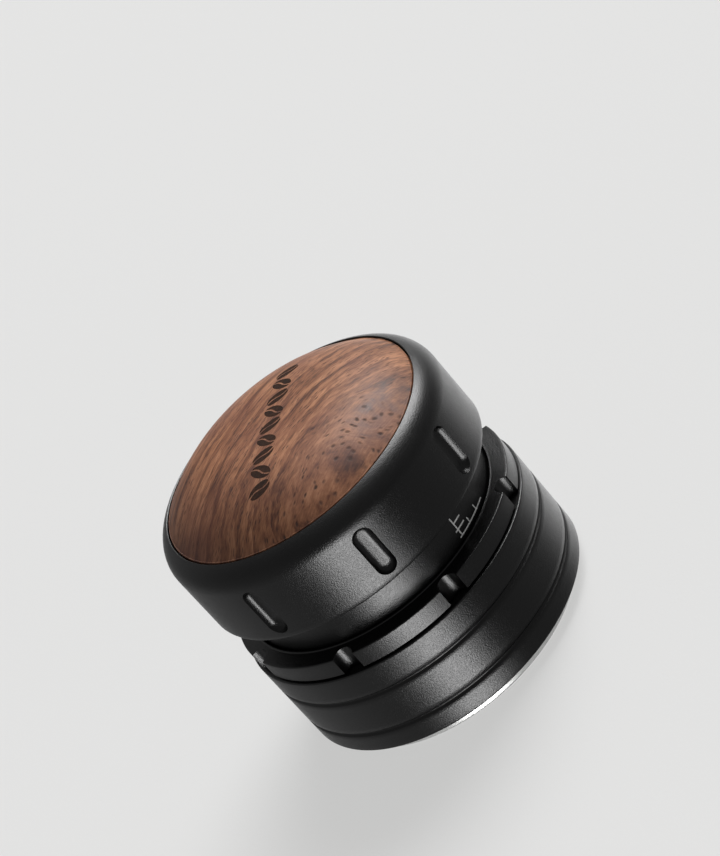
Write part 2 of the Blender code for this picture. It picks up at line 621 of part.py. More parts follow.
def make_spindle(handle):
    thread_r = SPINDLE_THREAD_D / 2
    washer_top = COLLAR_Z - SEAT
    washer_z = washer_top - WASHER_T
    nut_top = washer_z - SEAT
    nut_z = nut_top - NUT_T
    points = [(0.0, CAP_WEB_TOP - SEAT), (thread_r, CAP_WEB_TOP - SEAT), (thread_r, CAP_WEB_Z - SEAT),
              (SPINDLE_R, CAP_WEB_Z - SEAT), (SPINDLE_R, washer_top + SEAT / 2),
              (thread_r, washer_top + SEAT / 2), (thread_r, nut_z), (0.0, nut_z)]
    turned_part("spindle", points, "stainless", handle, FINE_STEPS)
    tube_part("retaining_washer", thread_r + SEAT, WASHER_D / 2, washer_z, washer_top,
              "zinc_steel", handle)
    hexagon = cylinder_mesh("retaining_nut", NUT_FLATS / math.sqrt(3), nut_z, nut_top, 6)
    nut = add_part("retaining_nut", hexagon, "zinc_steel", handle)
    bore = cylinder_mesh("nut_bore", thread_r + SEAT, nut_z - SEAT, nut_top + SEAT, HOLE_STEPS)
    cut(nut, add_cutter("nut_bore", bore))
    tube_part("upper_spring_seat", SPINDLE_R + SEAT, SPRING_SEAT_D / 2, UPPER_SEAT_Z,
              UPPER_SEAT_Z + UPPER_SEAT_T, "zinc_steel", handle)


def main():
    clear_scene()
    collection(PARTS)
    collection(CUTTERS)
    piston = empty("piston_axis")
    skirt = empty("skirt_axis", piston)
    ring_lift = empty("ring_lift_axis", skirt)
    ring_turn = empty("ring_turn_axis", ring_lift)
    handle = empty("handle_axis", piston)
    make_tamper_base(piston)
    make_guide_collar(piston)
    make_base_screws(piston)
    make_spring_seats(piston)
    make_retainer(piston)
    make_springs(piston)
    make_skirt(skirt)
    make_follower(skirt)
    make_depth_ring(ring_lift, ring_turn)
    make_cap(handle)
    make_dome(handle)
    make_spindle(handle)


main()
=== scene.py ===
"""Looks of the palm tamper: fine turned shapes, procedural materials, studio and camera."""

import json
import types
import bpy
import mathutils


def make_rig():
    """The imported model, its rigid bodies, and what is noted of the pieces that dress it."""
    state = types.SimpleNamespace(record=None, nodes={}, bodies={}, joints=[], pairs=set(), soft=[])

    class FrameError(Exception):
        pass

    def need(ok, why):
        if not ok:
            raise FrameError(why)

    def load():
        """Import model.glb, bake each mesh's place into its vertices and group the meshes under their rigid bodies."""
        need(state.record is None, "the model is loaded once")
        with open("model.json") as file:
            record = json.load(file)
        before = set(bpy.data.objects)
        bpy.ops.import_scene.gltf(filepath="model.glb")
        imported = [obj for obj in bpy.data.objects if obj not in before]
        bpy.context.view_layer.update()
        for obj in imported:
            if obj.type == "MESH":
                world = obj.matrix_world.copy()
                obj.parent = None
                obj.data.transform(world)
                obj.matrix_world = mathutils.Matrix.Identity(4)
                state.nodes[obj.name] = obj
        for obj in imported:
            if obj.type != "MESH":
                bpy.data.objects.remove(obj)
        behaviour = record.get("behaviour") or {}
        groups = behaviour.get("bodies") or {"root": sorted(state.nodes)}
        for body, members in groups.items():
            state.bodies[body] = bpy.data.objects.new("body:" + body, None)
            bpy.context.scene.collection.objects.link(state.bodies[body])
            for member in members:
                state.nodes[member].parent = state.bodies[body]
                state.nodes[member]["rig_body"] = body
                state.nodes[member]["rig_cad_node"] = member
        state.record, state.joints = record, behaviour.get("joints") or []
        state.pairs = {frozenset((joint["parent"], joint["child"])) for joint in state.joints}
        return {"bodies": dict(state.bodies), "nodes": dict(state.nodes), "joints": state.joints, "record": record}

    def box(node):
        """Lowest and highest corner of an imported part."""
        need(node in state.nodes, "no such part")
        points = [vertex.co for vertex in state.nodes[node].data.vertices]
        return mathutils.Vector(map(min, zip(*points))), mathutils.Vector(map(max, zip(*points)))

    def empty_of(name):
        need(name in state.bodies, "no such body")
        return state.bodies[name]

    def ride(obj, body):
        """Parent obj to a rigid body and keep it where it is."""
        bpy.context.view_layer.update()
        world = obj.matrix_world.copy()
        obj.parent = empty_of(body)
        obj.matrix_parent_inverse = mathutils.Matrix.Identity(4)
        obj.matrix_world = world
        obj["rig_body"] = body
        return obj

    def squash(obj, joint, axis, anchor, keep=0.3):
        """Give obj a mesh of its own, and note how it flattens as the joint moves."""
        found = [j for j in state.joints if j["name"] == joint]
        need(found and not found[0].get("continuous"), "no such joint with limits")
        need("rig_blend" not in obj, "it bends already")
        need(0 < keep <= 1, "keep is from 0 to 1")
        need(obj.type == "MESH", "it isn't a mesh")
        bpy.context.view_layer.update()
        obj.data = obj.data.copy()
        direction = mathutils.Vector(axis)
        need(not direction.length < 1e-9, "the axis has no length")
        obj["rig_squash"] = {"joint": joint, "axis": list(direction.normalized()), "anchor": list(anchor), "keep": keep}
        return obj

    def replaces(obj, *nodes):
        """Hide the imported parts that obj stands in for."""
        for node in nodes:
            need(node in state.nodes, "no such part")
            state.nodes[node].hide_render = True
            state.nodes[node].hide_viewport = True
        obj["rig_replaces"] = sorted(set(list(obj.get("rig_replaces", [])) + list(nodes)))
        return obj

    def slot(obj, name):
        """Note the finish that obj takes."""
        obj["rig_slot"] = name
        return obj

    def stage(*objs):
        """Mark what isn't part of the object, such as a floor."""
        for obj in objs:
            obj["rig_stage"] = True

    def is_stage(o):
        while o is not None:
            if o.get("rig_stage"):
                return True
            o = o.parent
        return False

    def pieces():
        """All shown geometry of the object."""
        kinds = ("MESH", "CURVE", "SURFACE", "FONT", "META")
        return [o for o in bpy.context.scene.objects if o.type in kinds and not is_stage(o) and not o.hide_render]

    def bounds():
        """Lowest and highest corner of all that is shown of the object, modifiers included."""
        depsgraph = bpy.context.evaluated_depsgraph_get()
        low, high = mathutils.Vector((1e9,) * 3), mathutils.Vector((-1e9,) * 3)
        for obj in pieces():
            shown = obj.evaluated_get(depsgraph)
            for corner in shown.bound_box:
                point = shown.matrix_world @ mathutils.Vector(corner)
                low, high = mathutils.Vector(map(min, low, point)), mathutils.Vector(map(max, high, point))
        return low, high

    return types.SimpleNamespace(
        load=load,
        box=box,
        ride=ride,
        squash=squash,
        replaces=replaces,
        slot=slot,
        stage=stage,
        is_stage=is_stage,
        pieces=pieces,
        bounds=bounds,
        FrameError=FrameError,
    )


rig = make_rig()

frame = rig.load()
CAD_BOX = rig.bounds()

import json
import math

import bmesh
import bpy
from mathutils import Matrix, Vector

MM = 0.001


# ---- sizes, taken from the frame ------------------------------------------------------------
def span(node):
    """(radius, low z, high z) of a node turned about Z."""
    low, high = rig.box(node)
    return (high.x - low.x) / 2, low.z, high.z


def centre(node):
    """The middle of a node's box."""
    low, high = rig.box(node)
    return (low + high) / 2


CAP_R, CAP_LOW, CAP_LIP = span("cap_shell")
DOME_R, DOME_LOW, DOME_TOP = span("walnut_dome")
COLLAR_R, COLLAR_LOW, COLLAR_TOP = span("guide_collar")
RING_R, SPIGOT_LOW, RING_TOP = span("depth_ring")
SKIRT_R, SKIRT_LOW, SKIRT_TOP = span("levelling_skirt")
BASE_R, BASE_LOW, BASE_TOP = span("tamper_base")
BAND_R, BAND_LOW, BAND_HIGH = span("cap_guide_band")
BUSH_TOP = span("skirt_bush")[2]
SEAL_R, SEAL_LOW, SEAL_HIGH = span("ring_friction_seal")
SNAP_R, SNAP_LOW, SNAP_HIGH = span("snap_ring")
WASHER_R = span("retaining_washer")[0]
DOME_SCREWS = ["dome_screw_%d" % count for count in (1, 2, 3)]
BASE_SCREWS = ["base_screw_%d" % count for count in (1, 2, 3, 4)]
PINS = ["follower_pin_%d" % count for count in (1, 2, 3)]

GAP = 0.3 * MM                  # between a fine piece and the pieces it holds
SLIDE = 0.35 * MM               # between turned pieces that slide
PRESS_STROKE = 2.2 * MM         # of the handle on the pressure spring
SKIRT_STROKE = 4.0 * MM         # of the skirt on the levelling spring
BORE_R = COLLAR_R + SLIDE
SPIGOT_R = SEAL_R
COLLAR_BORE_R = span("spring_retainer")[0] + GAP
BUSH_FLANGE = 1.5 * MM          # of the spindle bush, on the collar's floor
SEATED = 1.3 * MM               # of the skirt bush, inside the skirt's shelf
FLOOR_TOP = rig.box("spindle_bush")[1].z - BUSH_FLANGE
WEB_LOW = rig.box("upper_spring_seat")[1].z + GAP
WEB_TOP = DOME_LOW - GAP
SHELF_LOW = BUSH_TOP - SEATED + GAP
SHELF_TOP = SPIGOT_LOW - GAP
SEAM_Z = CAP_LIP - 0.29 * MM
RING_LOW = SKIRT_TOP + SLIDE

EDGE = 0.16 * MM                # broken edges of the turned aluminium
FILLET = 0.3 * MM               # of the skirt's top
SKIRT_CORNER = 0.45 * MM        # of the skirt's foot
SKIRT_GROOVES = (13.85 * MM, 4.82 * MM)
RIM_W = 5.94 * MM               # width and height of the cap's rounded rim
RIM_H = 5.52 * MM
DOME_POWER = 3.5                # how late the dome's top falls away
SPINDLE_HOLE = 4.3 * MM
SCREW_HOLE = 1.6 * MM           # of the dome screws
HEAD_HOLE = 3.2 * MM
HEAD_H = 1.5 * MM
BASE_SCREW_HOLE = 2.05 * MM
BASE_HEAD_HOLE = 3.8 * MM
BASE_HEAD_H = 2.0 * MM
PIN_HOLE = 1.8 * MM

RECESSES = 8                    # finger recesses round the cap
RECESS_W = 4.25 * MM
RECESS_H = 11.4 * MM
RECESS_DEPTH = 1.3 * MM
RECESS_LIP = 0.1 * MM
RECESS_RISE = 7.1 * MM          # of its middle over the cap's lower edge
RECESS_POWER = 4.4              # how flat its floor is
FLUTES = 8                      # round the depth ring
FLUTE_R = 2.25 * MM
FLUTE_TURN = 9.8                # of the first flute from the camera's side, in degrees

STEPS = 288                     # faces round each turned piece
FRONT = -math.pi / 2
VIEW_ANGLE = math.radians(-88.62)
RECESS_TURN = math.radians(0.05)    # these two keep cuts off the turned pieces' own edges
DRILL_TURN = math.radians(0.4)


# ---- shape helpers --------------------------------------------------------------------------
def arc(middle, size, start, end, steps):
    """Points on an ellipse round middle, between two angles in degrees."""
    points = []
    for index in range(steps + 1):
        angle = math.radians(start + (end - start) * index / steps)
        points.append((middle[0] + size[0] * math.cos(angle), middle[1] + size[1] * math.sin(angle)))
    return points


def fine(points, step):
    """The same outline with its long stretches divided, which keeps shading true near cuts."""
    result = []
    spots = [point[:2] for point in points]
    for (r0, z0), (r1, z1) in zip(spots, spots[1:]):
        pieces = max(1, math.ceil(math.hypot(r1 - r0, z1 - z0) / step))
        for index in range(pieces):
            share = index / pieces
            result.append((r0 + (r1 - r0) * share, z0 + (z1 - z0) * share))
    result.append(points[-1])
    return result


def finish_mesh(bm, name, smooth_angle):
    """Turns the mesh into an object, smooth but for edges sharper than the angle."""
    bmesh.ops.recalc_face_normals(bm, faces=bm.faces)
    mesh = bpy.data.meshes.new(name)
    bm.to_mesh(mesh)
    bm.free()
    mesh.shade_smooth()
    mesh.set_sharp_from_angle(angle=math.radians(smooth_angle))
    thing = bpy.data.objects.new(name, mesh)
    bpy.context.scene.collection.objects.link(thing)
    return thing


def mark_painted_highlight(points):
    """Marks the stretches that start at these points for the second material, whose pale colour paints a thin highlight
    line on them.
    """
    return [(*point[:2], True) for point in points]


def turned(name, points, steps=STEPS, smooth_angle=35):
    """A turned solid: points (radius, z) run down the outside and back up the inside."""
    bm = bmesh.new()
    angles = [2 * math.pi * index / steps for index in range(steps)]
    rings = []
    for radius, z in [point[:2] for point in points]:
        around = angles if radius > 0 else [0.0]
        rings.append([bm.verts.new((radius * math.cos(a), radius * math.sin(a), z)) for a in around])
    pairs = list(zip(rings, rings[1:]))
    if points[0][0] > 0:
        pairs.append((rings[-1], rings[0]))
    for (upper, lower), point in zip(pairs, points):
        for index in range(steps):
            after = (index + 1) % steps
            corners = [upper[index % len(upper)], upper[after % len(upper)],
                       lower[after % len(lower)], lower[index % len(lower)]]
            corners = list(dict.fromkeys(corners))      # a ring on the axis is one point
            if len(corners) > 2:
                # a point with a third flag gives its stretch the second material, the painted edge highlight
                bm.faces.new(corners).material_index = len(point) - 2
    return finish_mesh(bm, name, smooth_angle)


def cut(piece, cutter):
    """Takes the cutter's shape out of the piece and removes the cutter."""
    step = piece.modifiers.new("cut", "BOOLEAN")
    step.operation = "DIFFERENCE"
    step.solver = "EXACT"
    step.object = cutter
    bpy.context.view_layer.update()
    graph = bpy.context.evaluated_depsgraph_get()
    mesh = bpy.data.meshes.new_from_object(piece.evaluated_get(graph))
    piece.modifiers.remove(step)
    piece.data = mesh
    bpy.data.objects.remove(cutter, do_unlink=True)


def drill(piece, node, high, *steps):
    """A stepped hole on the axis of a node that stands along Z: (radius, low z) from the top down."""
    points = [(0, high)]
    for radius, low in steps:
        points += [(radius, points[-1][1]), (radius, low)]
    hole = turned("hole", points + [(0, points[-1][1])], 48)
    hole.location = (centre(node).x, centre(node).y, 0)
    hole.rotation_euler = (0, 0, DRILL_TURN)
    cut(piece, hole)


def pin_hole(piece, node, radius, inner, outer, rise=0.0):
    """A radial hole round a follower pin, drawn out upwards into a slot by its rise."""
    at = centre(node)
    bm = bmesh.new()
    for lift in (0.0, rise):
        place = Matrix.Translation(((inner + outer) / 2, 0, lift)) @ Matrix.Rotation(math.pi / 2, 4, "Y")
        bmesh.ops.create_cone(bm, cap_ends=True, segments=32, radius1=radius, radius2=radius,
                              depth=outer - inner, matrix=place)
    bmesh.ops.delete(bm, geom=bm.edges[:], context="EDGES_FACES")
    bmesh.ops.convex_hull(bm, input=bm.verts)
    loose = [vertex for vertex in bm.verts if not vertex.link_faces]
    bmesh.ops.delete(bm, geom=loose, context="VERTS")
    hole = finish_mesh(bm, "pin_hole", 30)
    hole.location = (0, 0, at.z)
    hole.rotation_euler = (0, 0, math.atan2(at.y, at.x))
    cut(piece, hole)


def put(piece, body, slot, materials, *nodes):
    """Gives the piece its materials, and sets it on its body in place of these CAD nodes."""
    piece.data.materials.clear()
    for material in materials:
        piece.data.materials.append(material)
    if nodes:
        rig.replaces(piece, *nodes)
    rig.slot(piece, slot)
    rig.ride(piece, body)
    return piece


# ---- materials ------------------------------------------------------------------------------
WOOD_EYE = (5.5 * MM, -19.0 * MM, 0)
RING_WIDTH = 2.3 * MM           # between growth rings


class Nodes:
    """Short calls for building one node material."""

    def __init__(self, name):
        self.material = bpy.data.materials.new(name)
        self.material.use_nodes = True
        self.tree = self.material.node_tree
        self.shader = self.tree.nodes["Principled BSDF"]
        self.place = self.add("ShaderNodeTexCoord").outputs["Object"]

    def add(self, kind, **settings):
        node = self.tree.nodes.new(kind)
        for key, value in settings.items():
            setattr(node, key, value)
        return node

    def link(self, source, target):
        self.tree.links.new(source, target)

    def socket(self, value, target):
        """Sets a number or links an output."""
        if hasattr(value, "links"):
            self.link(value, target)
        else:
            target.default_value = value

    def noise(self, scale, detail=2.0, rough=0.5, place=None):
        node = self.add("ShaderNodeTexNoise")
        self.link(place or self.place, node.inputs["Vector"])
        node.inputs["Scale"].default_value = scale
        node.inputs["Detail"].default_value = detail
        node.inputs["Roughness"].default_value = rough
        return node.outputs["Fac"]

    def math(self, kind, first, second=0.0):
        node = self.add("ShaderNodeMath", operation=kind)
        for value, target in zip((first, second), node.inputs):
            self.socket(value, target)
        return node.outputs[0]

    def add_up(self, first, *others):
        """The sum of two or more values."""
        for value in others:
            first = self.math("ADD", first, value)
        return first

    def about(self, value, weight):
        """The value's distance from its middle, 0.5, times a weight."""
        return self.math("MULTIPLY", self.math("SUBTRACT", value, 0.5), weight)

    def vector(self, kind, first, second=(0, 0, 0)):
        node = self.add("ShaderNodeVectorMath", operation=kind)
        self.socket(first, node.inputs[0])
        self.socket(second, node.inputs[1])
        return node.outputs["Value" if kind in ("LENGTH", "DOT_PRODUCT") else "Vector"]

    def spread(self, value, low, high, new_low, new_high):
        """Maps low..high to new_low..new_high, and holds the ends."""
        node = self.add("ShaderNodeMapRange")
        numbers = {"From Min": low, "From Max": high, "To Min": new_low, "To Max": new_high}
        for name, number in numbers.items():
            self.socket(number, node.inputs[name])
        self.link(value, node.inputs["Value"])
        return node.outputs["Result"]

    def mix(self, share, first, second):
        node = self.add("ShaderNodeMix", data_type="RGBA")
        self.socket(share, node.inputs["Factor"])
        self.socket(first, node.inputs["A"])
        self.socket(second, node.inputs["B"])
        return node.outputs["Result"]

    def ramp(self, value, *stops):
        node = self.add("ShaderNodeValToRGB")
        elements = node.color_ramp.elements
        while len(elements) < len(stops):
            elements.new(0.5)
        for element, (position, colour) in zip(elements, stops):
            element.position = position
            element.color = (*colour, 1)
        self.link(value, node.inputs["Fac"])
        return node.outputs["Color"]

    def bump(self, height, distance, strength=1.0):
        node = self.add("ShaderNodeBump")
        node.inputs["Distance"].default_value = distance
        node.inputs["Strength"].default_value = strength
        self.link(height, node.inputs["Height"])
        return node.outputs["Normal"]

    def finish(self, normal=None, **inputs):
        for name, value in inputs.items():
            self.socket(value, self.shader.inputs[name.replace("_", " ")])
        if normal:
            self.link(normal, self.shader.inputs["Normal"])
        return self.material


def anodised():
    """Sandblasted, black anodised aluminium: a fine dark grain that sparkles in highlights."""
    n = Nodes("black_anodised_blasted")
    grain = n.noise(4700, 0.0, 0.5)
    blotch = n.noise(160, 3, 0.55)
    tone = n.mix(blotch, (0.0014, 0.0014, 0.0015, 1), (0.0030, 0.0030, 0.0031, 1))
    rough = n.add_up(n.spread(grain, 0.3, 0.7, 0.29, 0.40), n.spread(blotch, 0.3, 0.7, -0.015, 0.02))
    return n.finish(n.bump(grain, 0.00003), Base_Color=tone, Roughness=rough, IOR=1.4)


def painted_edge_highlight():
    """Broken edges of the same aluminium, a little smoother, given a grey metallic colour far paler than the black
    body's: a painted highlight, a thin grey line of light along each edge.
    """
    n = Nodes("black_anodised_edge_painted_highlight")
    edge_mottle = n.noise(900, 4, 0.6)
    # painted highlight: this grey metallic colour makes the edges shine as light lines; the mottle only varies it at
    # random
    tone = n.mix(n.spread(edge_mottle, 0.35, 0.65, 0, 1), (0.19, 0.19, 0.19, 1), (0.32, 0.32, 0.32, 1))
    rough = n.spread(edge_mottle, 0.3, 0.7, 0.26, 0.36)
    return n.finish(n.bump(edge_mottle, 0.000006), Base_Color=tone, Roughness=rough, Metallic=1.0)


def walnut():
    """Oiled walnut: growth rings round a long eye near the front, fine fibres and open pores."""
    n = Nodes("walnut_oiled")
    turn = n.add("ShaderNodeVectorRotate", rotation_type="Z_AXIS")
    n.link(n.vector("SUBTRACT", n.place, WOOD_EYE), turn.inputs["Vector"])
    turn.inputs["Angle"].default_value = -math.radians(27)
    local = turn.outputs["Vector"]

    # distance from the eye, which the rings, fibres and pores follow
    sway = n.about(n.noise(34), 5.0 * MM)
    ripple = n.about(n.noise(190), 0.8 * MM)
    rings = n.add_up(n.vector("LENGTH", n.vector("MULTIPLY", local, (0.50, 1.0, 0.3))), sway, ripple)
    lift = n.add("ShaderNodeCombineXYZ")
    n.link(rings, lift.inputs["Z"])
    fibre_place = n.vector("ADD", n.vector("MULTIPLY", local, (0.085,) * 3), lift.outputs["Vector"])
    pore_place = n.vector("ADD", n.vector("MULTIPLY", local, (0.13,) * 3), lift.outputs["Vector"])

    # streaks and rings of colour
    bands = n.noise(420, 2, 0.5, fibre_place)
    fibres = n.noise(4300, 3, 0.65, fibre_place)
    hairs = n.noise(3000, 2, 0.6, n.vector("MULTIPLY", local, (0.12, 1.0, 0.3)))
    year = n.math("FRACT", n.add_up(n.math("DIVIDE", rings, RING_WIDTH), n.math("MULTIPLY", bands, 1.2)))
    late_wood = n.math("MULTIPLY", n.spread(year, 0.45, 0.92, 0, 1), n.spread(year, 0.93, 1.0, 1, 0))
    light = n.add_up(
        n.about(bands, 0.80), n.about(n.noise(1300, 2, 0.55, fibre_place), 1.0), n.about(fibres, 1.3),
        n.about(hairs, 0.7), n.spread(n.noise(75, 3, 0.6), 0.25, 0.75, 0.50, 0.80))
    light = n.math("SUBTRACT", light, n.math("MULTIPLY", late_wood, 0.34))
    colour = n.ramp(light, (0.0, (0.032, 0.0110, 0.0055)), (0.30, (0.098, 0.035, 0.0155)),
                    (0.60, (0.192, 0.079, 0.037)), (1.0, (0.330, 0.155, 0.080)))
    colour = n.mix(n.spread(n.noise(60), 0.45, 0.7, 0.0, 0.45), colour, (0.105, 0.036, 0.026, 1))

    # painted shade: the wood darkens towards the side that faces away from the key light, its edge wavering with the
    # grain's sway
    side = n.vector("DOT_PRODUCT", n.place, (-0.896, -0.445, 0))
    painted_shade_share = n.spread(n.add_up(side, n.math("MULTIPLY", sway, 0.8)), 7 * MM, 26 * MM, 0.0, 0.60)
    colour = n.mix(painted_shade_share, colour, (0.022, 0.0075, 0.005, 1))

    # open pores, which thin out at the eye
    cells = n.add("ShaderNodeTexVoronoi", feature="F1")
    n.link(pore_place, cells.inputs["Vector"])
    cells.inputs["Scale"].default_value = 3900
    dense = n.spread(n.noise(260, 3, 0.6, fibre_place), 0.38, 0.54, 0.2, 0.9)
    pore = n.math("MULTIPLY", n.spread(cells.outputs["Distance"], 0.14, 0.33, 1.0, 0.0), dense)
    pore = n.math("MULTIPLY", pore, n.spread(rings, 2 * MM, 6 * MM, 0, 1))
    colour = n.mix(pore, colour, (0.016, 0.006, 0.004, 1))

    rough = n.add_up(n.spread(fibres, 0.3, 0.7, 0.46, 0.56), n.math("MULTIPLY", pore, 0.2))
    relief = n.math("SUBTRACT", n.math("MULTIPLY", fibres, 0.5), pore)
    return n.finish(n.bump(relief, 0.00005, 0.7), Base_Color=colour, Roughness=rough, IOR=1.32)


def shades(colour, share):
    """A darker share of a colour, and the colour, as node inputs."""
    return (*[part * share for part in colour], 1), (*colour, 1)


def turned_metal(name, colour, rough, pitch, metallic=1.0):
    """Lathe-turned metal: fine rings round Z, with a little scatter in the polish."""
    n = Nodes(name)
    radius = n.vector("LENGTH", n.vector("MULTIPLY", n.place, (1, 1, 0)))
    height = n.vector("DOT_PRODUCT", n.place, (0, 0, 1))
    path = n.add("ShaderNodeCombineXYZ")
    n.link(n.add_up(radius, height), path.inputs["X"])
    lines = n.noise(1 / pitch, 2, 0.6, path.outputs["Vector"])
    smear = n.noise(220, 3)
    tone = n.mix(smear, *shades(colour, 0.86))
    gloss = n.add_up(n.spread(lines, 0.3, 0.7, rough * 0.8, rough * 1.2), n.spread(smear, 0.3, 0.7, 0, 0.05))
    return n.finish(n.bump(lines, 0.000004), Base_Color=tone, Roughness=gloss, Metallic=metallic)


def wire(name, colour, rough):
    """Drawn or plated steel: a mottled sheen with fine scratches."""
    n = Nodes(name)
    mottle = n.noise(600, 4, 0.6)
    scratch = n.noise(4000, 2, 0.7, n.vector("MULTIPLY", n.place, (1, 1, 0.12)))
    tone = n.mix(mottle, *shades(colour, 0.75))
    scuffs = n.spread(scratch, 0.3, 0.7, -0.04, 0.06)
    gloss = n.add_up(n.spread(mottle, 0.3, 0.7, rough, rough + 0.12), scuffs)
    return n.finish(n.bump(scratch, 0.000006), Base_Color=tone, Roughness=gloss, Metallic=1.0)


def polymer(name, colour, rough, grain):
    """Moulded or machined plastic and rubber with a fine skin texture."""
    n = Nodes(name)
    skin = n.noise(grain, 3, 0.6)
    tone = n.mix(n.noise(180), *shades(colour, 0.82))
    roughness = n.spread(skin, 0.3, 0.7, rough - 0.05, rough + 0.08)
    return n.finish(n.bump(skin, 0.00001), Base_Color=tone, Roughness=roughness)


def laser_white():
    """Laser-marked scale lines: a chalky pale grey burnt into the black."""
    n = Nodes("laser_mark_white")
    speck = n.noise(7000, 2, 0.6)
    tone = n.mix(n.spread(speck, 0.35, 0.65, 0, 1), (0.30, 0.30, 0.30, 1), (0.72, 0.72, 0.71, 1))
    return n.finish(n.bump(speck, 0.00001), Base_Color=tone, Roughness=n.spread(speck, 0.3, 0.7, 0.55, 0.8))


def burnt():
    """Laser-burnt wood: very dark brown char, with paler fibres showing through."""
    n = Nodes("laser_burnt_walnut")
    fibre = n.noise(2600, 4, 0.7, n.vector("MULTIPLY", n.place, (0.5, 1.0, 1.0)))
    tone = n.mix(n.spread(fibre, 0.35, 0.7, 0, 1), (0.006, 0.003, 0.002, 1), (0.040, 0.018, 0.010, 1))
    rough = n.spread(fibre, 0.3, 0.7, 0.7, 0.9)
    return n.finish(n.bump(fibre, 0.00006), Base_Color=tone, Roughness=rough, IOR=1.2)


# ---- the pieces ------------------------------------------------------------------------------
def recess_cutter():
    """A stadium dish: flat in the middle, steep at the sides, its mouth broken by a fine lip."""
    half = (RECESS_H - RECESS_W) / 2
    mouth = RECESS_W / 2
    reach = mouth + RECESS_LIP
    steps, turns = 18, 24
    outline = []
    for index in range(1, steps + 1):
        share = math.sin(math.pi / 2 * index / steps)
        outline.append((mouth * share, -RECESS_DEPTH * (1 - share ** RECESS_POWER)))
    outline += [(reach, RECESS_LIP * 0.9), (reach, 2.0 * MM)]
    bm = bmesh.new()
    floor = {side: bm.verts.new((0, side * half, -RECESS_DEPTH)) for side in (1, -1)}
    sides, columns = [], []
    for side, first in ((1, 0), (-1, math.pi)):
        for index in range(turns + 1):
            angle = first + math.pi * index / turns
            sides.append(side)
            columns.append([
                bm.verts.new((radius * math.cos(angle), side * half + radius * math.sin(angle), level))
                for radius, level in outline])
    for index, here in enumerate(columns):
        following = (index + 1) % len(columns)
        after = columns[following]
        corners = [floor[sides[index]], here[0], after[0], floor[sides[following]]]
        bm.faces.new(list(dict.fromkeys(corners)))
        for level in range(len(outline) - 1):
            bm.faces.new((here[level], here[level + 1], after[level + 1], after[level]))
    bm.faces.new([column[-1] for column in columns])
    return finish_mesh(bm, "recess", 30)


def make_cap(finish):
    pocket = DOME_R + GAP
    band_wall = BAND_R + GAP
    rim_r = CAP_R - RIM_W
    rim_z = CAP_LIP - RIM_H * math.sin(math.acos((pocket - rim_r) / RIM_W))
    start = math.degrees(math.acos((pocket + EDGE - rim_r) / RIM_W))
    rim = arc((rim_r, rim_z), (RIM_W, RIM_H), start, 0, 28)
    foot = [(CAP_R, CAP_LOW + 0.36 * MM), (CAP_R - 0.13 * MM, CAP_LOW + 0.04 * MM),
            (CAP_R - 0.2 * MM, CAP_LOW)]
    outside = [(SPINDLE_HOLE, WEB_TOP), (pocket, WEB_TOP), (pocket, CAP_LIP - EDGE)] + rim
    outside += fine([rim[-1], foot[0]], 0.8 * MM)[1:] + foot[1:]
    inside = [(BORE_R + EDGE, CAP_LOW), (BORE_R, CAP_LOW + EDGE), (BORE_R, BAND_LOW - GAP),
              (band_wall, BAND_LOW - GAP), (band_wall, BAND_HIGH + GAP), (BORE_R, BAND_HIGH + GAP),
              (BORE_R, WEB_LOW), (SPINDLE_HOLE, WEB_LOW)]
    cap = turned("cap_body", outside + inside)
    for node in DOME_SCREWS:
        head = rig.box(node)[0].z + HEAD_H
        drill(cap, node, WEB_TOP + GAP, (SCREW_HOLE, head), (HEAD_HOLE, WEB_LOW - GAP))
    for index in range(RECESSES):
        recess = recess_cutter()
        angle = FRONT + index * 2 * math.pi / RECESSES + RECESS_TURN
        stand = Matrix(((0, 0, 1, 0), (1, 0, 0, 0), (0, 1, 0, 0), (0, 0, 0, 1)))
        out = Matrix.Translation((CAP_R - 0.02 * MM, 0, CAP_LOW + RECESS_RISE))
        recess.matrix_world = Matrix.Rotation(angle, 4, "Z") @ out @ stand
        cut(cap, recess)
    cap.data.set_sharp_from_angle(angle=math.radians(30))
    put(cap, "handle", "black_anodised", finish, "cap_shell")


def dome_height(radius):
    """The dome's surface at a distance from the axis."""
    return SEAM_Z + (DOME_TOP - SEAM_Z) * (1 - (radius / DOME_R) ** DOME_POWER)


def make_dome(finish, mark):
    edge = 0.25 * MM
    shares = [index / 40 for index in range(41)]
    points = [(share * (DOME_R - edge), dome_height(share * (DOME_R - edge))) for share in shares]
    points += arc((DOME_R - edge, SEAM_Z), (edge, edge), 70, 0, 4)
    points += [(DOME_R, DOME_LOW), (0, DOME_LOW)]
    dome = turned("walnut_top", points)
    for node in DOME_SCREWS:
        drill(dome, node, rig.box(node)[1].z + GAP, (SCREW_HOLE, DOME_LOW - GAP))
    put(dome, "handle", "walnut", finish, "walnut_dome")
    put(make_bean_row(), "handle", "walnut", mark)


def make_bean_row():
    """A row of plain coffee-bean ovals, each split by a curved line, burnt across the dome."""
    start = Vector((-8.6, -15.4)) * MM
    end = Vector((9.2, 12.6)) * MM
    beans = 9
    along = (end - start).normalized()
    across = Vector((-along.y, along.x))
    bm = bmesh.new()
    for index in range(beans):
        middle = start.lerp(end, index / (beans - 1))
        tilt = math.radians(62 if index % 2 else 118)
        for side in (1, -1):
            add_half_bean(bm, middle, along, across, tilt, side)
    return finish_mesh(bm, "bean_row", 40)


